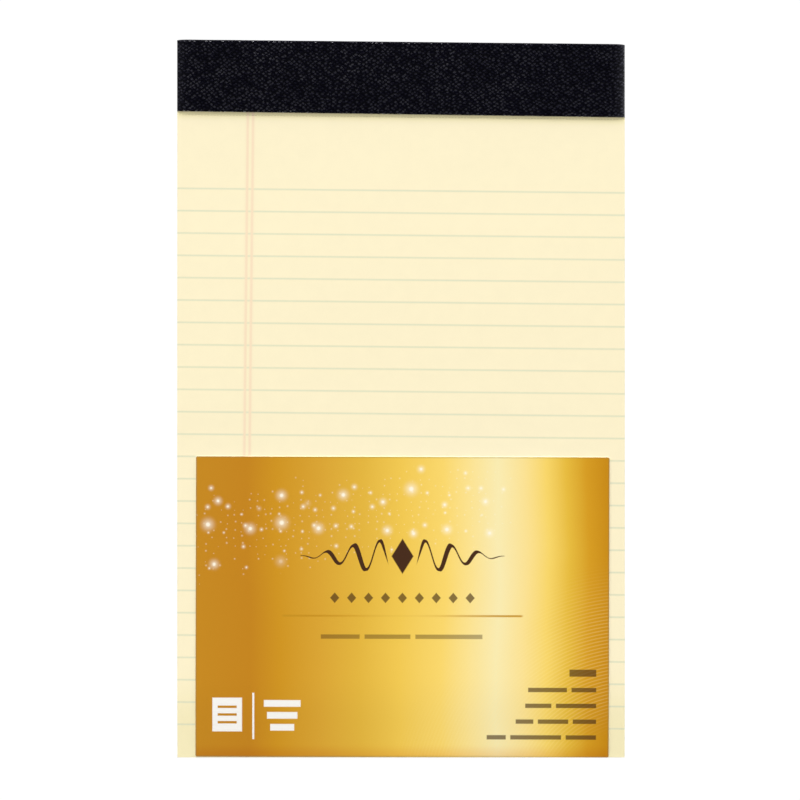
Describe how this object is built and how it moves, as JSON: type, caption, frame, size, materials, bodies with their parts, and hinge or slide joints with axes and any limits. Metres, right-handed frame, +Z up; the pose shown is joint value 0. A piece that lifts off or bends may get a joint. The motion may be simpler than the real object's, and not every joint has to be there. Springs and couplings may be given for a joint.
{
  "type": "legal pad",
  "caption": "Small top-bound writing pad: ruled yellow sheets on a stiff board, held by a tape folded over the head, with a loose label card on the front.",
  "frame": {"origin": "under the middle of the pad's outline, on the surface that the pad lies on", "axes": "+Y towards the bound head, +X to the reader's right, +Z up out of the front sheet"},
  "size_m": [0.127, 0.2038, 0.0071],
  "materials": {
    "canary_paper": "uncoated writing paper",
    "chipboard": "matte grey-brown recycled board",
    "leatherette_paper": "embossed, semi-gloss",
    "staple_steel": "galvanised wire",
    "gold_card": "printed card, satin"
  },
  "bodies": {
    "root": {"page_block": "canary_paper", "backing_board": "chipboard", "binding_tape": "leatherette_paper", "staple_left": "staple_steel", "staple_right": "staple_steel", "label_card": "gold_card"}
  },
  "joints": []
}
